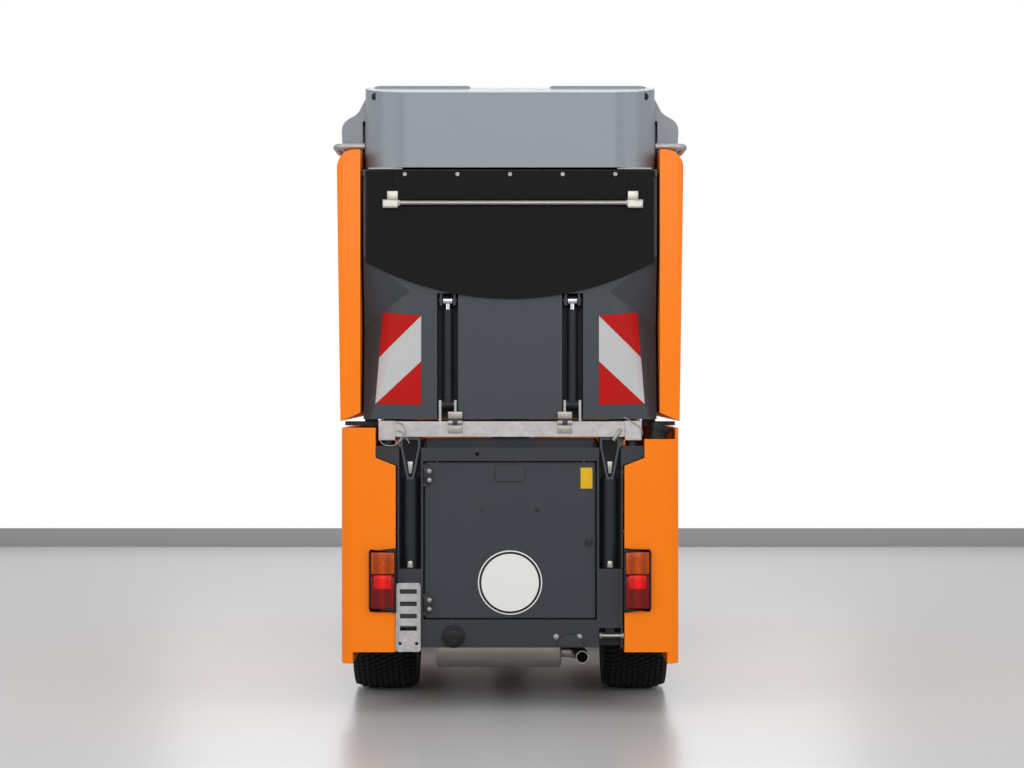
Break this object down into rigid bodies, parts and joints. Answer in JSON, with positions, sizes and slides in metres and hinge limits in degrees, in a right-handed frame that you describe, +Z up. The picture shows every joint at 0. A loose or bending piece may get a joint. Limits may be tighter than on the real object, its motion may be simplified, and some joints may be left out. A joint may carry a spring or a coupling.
{
  "type": "compact street sweeper",
  "caption": "Articulated compact street sweeper with disc brushes, suction mouth, glazed cab and a high-dump hopper that lifts on scissor arms and tips backwards.",
  "frame": {"origin": "on the ground under the middle of the overall length and width", "axes": "+X to the machine's right, +Y to its front, +Z up"},
  "size_m": [1.392, 3.56, 2.0656],
  "materials": {
    "amber_lens": "clear coloured lens",
    "anthracite_steel": "powder-coated sheet steel",
    "black_plastic": "grained moulding",
    "brush_bristle": "plastic bristle",
    "chassis_paint": "dark chassis paint",
    "chromed_rod": "hard chromed and ground",
    "cover_grey": "satin grey moulding",
    "cylinder_black": "black paint",
    "engine_iron": "painted cast iron",
    "galvanised_steel": "hot-dip galvanised",
    "head_lamp": "clear lens",
    "lamp_lens": "clear coloured lens",
    "orange_paint": "gloss painted moulding",
    "rim_paint": "silver painted steel",
    "rubber_black": "moulded rubber",
    "seat_fabric": "woven seat cloth",
    "stainless_steel": "bare stainless steel",
    "tyre_rubber": "tyre rubber",
    "window_glass": "tinted safety glass"
  },
  "bodies": {
    "rear_frame": {"rear_frame": "anthracite_steel", "rear_axle": "chassis_paint", "engine_block": "engine_iron", "lower_panel_left": "orange_paint", "lower_panel_right": "orange_paint", "rear_lamps": "lamp_lens", "muffler": "stainless_steel", "fuel_filler": "black_plastic", "slotted_plate": "galvanised_steel", "lift_barrels": "cylinder_black", "rear_duct": "galvanised_steel"},
    "engine_door": {"engine_door": "anthracite_steel"},
    "lift_frame": {"lift_frame": "galvanised_steel", "lift_rods": "chromed_rod"},
    "scissor_outer": {"scissor_outer": "chassis_paint"},
    "scissor_inner": {"scissor_inner": "chassis_paint"},
    "hopper": {"hopper_shell": "anthracite_steel", "upper_panel_left": "orange_paint", "upper_panel_right": "orange_paint", "roof_hood": "cover_grey", "rear_cover": "cover_grey", "grab_loops": "stainless_steel"},
    "discharge_flap": {"discharge_flap": "rubber_black", "flap_rod": "stainless_steel"},
    "tip_barrels": {"tip_barrels": "cylinder_black"},
    "tip_rods": {"tip_rods": "chromed_rod"},
    "wheel_rear_left": {"tyre_rear_left": "tyre_rubber", "rim_rear_left": "rim_paint"},
    "wheel_rear_right": {"tyre_rear_right": "tyre_rubber", "rim_rear_right": "rim_paint"},
    "front_frame": {"front_frame": "chassis_paint", "front_axle": "chassis_paint", "cab_shell": "orange_paint", "cab_roof": "cover_grey", "cab_glass": "window_glass", "seat_pan": "black_plastic", "seat_cushions": "seat_fabric", "steering_column": "black_plastic", "head_lamps": "head_lamp", "mirrors": "black_plastic", "beacon": "amber_lens", "suction_duct": "galvanised_steel", "suction_mouth": "galvanised_steel", "flex_hose": "rubber_black"},
    "wheel_front_left": {"tyre_front_left": "tyre_rubber", "rim_front_left": "rim_paint"},
    "wheel_front_right": {"tyre_front_right": "tyre_rubber", "rim_front_right": "rim_paint"},
    "door_left": {"door_left": "orange_paint", "door_glass_left": "window_glass"},
    "door_right": {"door_right": "orange_paint", "door_glass_right": "window_glass"},
    "front_linkage": {"front_linkage": "chassis_paint"},
    "brush_arm_left": {"brush_arm_left": "chassis_paint"},
    "brush_arm_right": {"brush_arm_right": "chassis_paint"},
    "brush_left": {"brush_left": "brush_bristle"},
    "brush_right": {"brush_right": "brush_bristle"}
  },
  "joints": [
    {"name": "engine_door_hinge", "type": "hinge", "parent": "rear_frame", "child": "engine_door", "pos_m": [-0.262, -1.753, 0.53], "axis": [0, 0, -1], "range_deg": [0, 110]},
    {"name": "hopper_lift", "type": "slide", "parent": "rear_frame", "child": "lift_frame", "axis": [0, 0, 1], "range_m": [0, 0.36]},
    {"name": "scissor_outer_hinge", "type": "hinge", "parent": "rear_frame", "child": "scissor_outer", "pos_m": [0.328, -1.64, 0.745], "axis": [1, 0, 0], "range_deg": [0, 22]},
    {"name": "scissor_inner_hinge", "type": "hinge", "parent": "lift_frame", "child": "scissor_inner", "pos_m": [0.298, -1.64, 0.832], "axis": [1, 0, 0], "range_deg": [-22, 0]},
    {"name": "hopper_tip", "type": "hinge", "parent": "lift_frame", "child": "hopper", "pos_m": [0, -1.765, 0.9], "axis": [1, 0, 0], "range_deg": [0, 100]},
    {"name": "tip_barrel_hinge", "type": "hinge", "parent": "lift_frame", "child": "tip_barrels", "pos_m": [0, -1.72, 0.955], "axis": [1, 0, 0], "range_deg": [0, 101]},
    {"name": "tip_rod_slide", "type": "slide", "parent": "tip_barrels", "child": "tip_rods", "axis": [0, 0, 1], "range_m": [0, 0.112]},
    {"name": "flap_hinge", "type": "hinge", "parent": "hopper", "child": "discharge_flap", "pos_m": [0, -1.758, 1.674], "axis": [-1, 0, 0], "range_deg": [0, 80]},
    {"name": "wheel_rear_left_spin", "type": "hinge", "parent": "rear_frame", "child": "wheel_rear_left", "pos_m": [-0.41, -1.2, 0.292], "axis": [1, 0, 0], "continuous": true},
    {"name": "wheel_rear_right_spin", "type": "hinge", "parent": "rear_frame", "child": "wheel_rear_right", "pos_m": [0.41, -1.2, 0.292], "axis": [1, 0, 0], "continuous": true},
    {"name": "articulation", "type": "hinge", "parent": "rear_frame", "child": "front_frame", "pos_m": [0, -0.475, 0.37], "axis": [0, 0, 1], "range_deg": [-40, 40], "deforming": ["flex_hose"]},
    {"name": "wheel_front_left_spin", "type": "hinge", "parent": "front_frame", "child": "wheel_front_left", "pos_m": [-0.41, 0.25, 0.292], "axis": [1, 0, 0], "continuous": true},
    {"name": "wheel_front_right_spin", "type": "hinge", "parent": "front_frame", "child": "wheel_front_right", "pos_m": [0.41, 0.25, 0.292], "axis": [1, 0, 0], "continuous": true},
    {"name": "door_left_hinge", "type": "hinge", "parent": "front_frame", "child": "door_left", "pos_m": [-0.514, 0.6, 0.9], "axis": [0, 0, -1], "range_deg": [0, 72]},
    {"name": "door_right_hinge", "type": "hinge", "parent": "front_frame", "child": "door_right", "pos_m": [0.514, 0.6, 0.9], "axis": [0, 0, 1], "range_deg": [0, 72]},
    {"name": "sweeping_gear_lift", "type": "hinge", "parent": "front_frame", "child": "front_linkage", "pos_m": [0, 0.93, 0.33], "axis": [1, 0, 0], "range_deg": [0, 12]},
    {"name": "brush_arm_left_swing", "type": "hinge", "parent": "front_linkage", "child": "brush_arm_left", "pos_m": [-0.2, 1.11, 0.36], "axis": [0, 0, 1], "range_deg": [0, 30]},
    {"name": "brush_arm_right_swing", "type": "hinge", "parent": "front_linkage", "child": "brush_arm_right", "pos_m": [0.2, 1.11, 0.36], "axis": [0, 0, -1], "range_deg": [0, 30]},
    {"name": "brush_left_spin", "type": "hinge", "parent": "brush_arm_left", "child": "brush_left", "pos_m": [-0.322, 1.47, 0.2], "axis": [0, 0, -1], "continuous": true},
    {"name": "brush_right_spin", "type": "hinge", "parent": "brush_arm_right", "child": "brush_right", "pos_m": [0.322, 1.47, 0.2], "axis": [0, 0, 1], "continuous": true}
  ],
  "couplings": [
    {"joint": "scissor_outer_hinge", "follows": "hopper_lift", "rad_per_m": 1.0453},
    {"joint": "scissor_inner_hinge", "follows": "hopper_lift", "rad_per_m": -1.0453},
    {"joint": "tip_barrel_hinge", "follows": "hopper_tip", "ratio": 1.0018},
    {"joint": "tip_rod_slide", "follows": "hopper_tip", "m_per_rad": 0.06238}
  ]
}
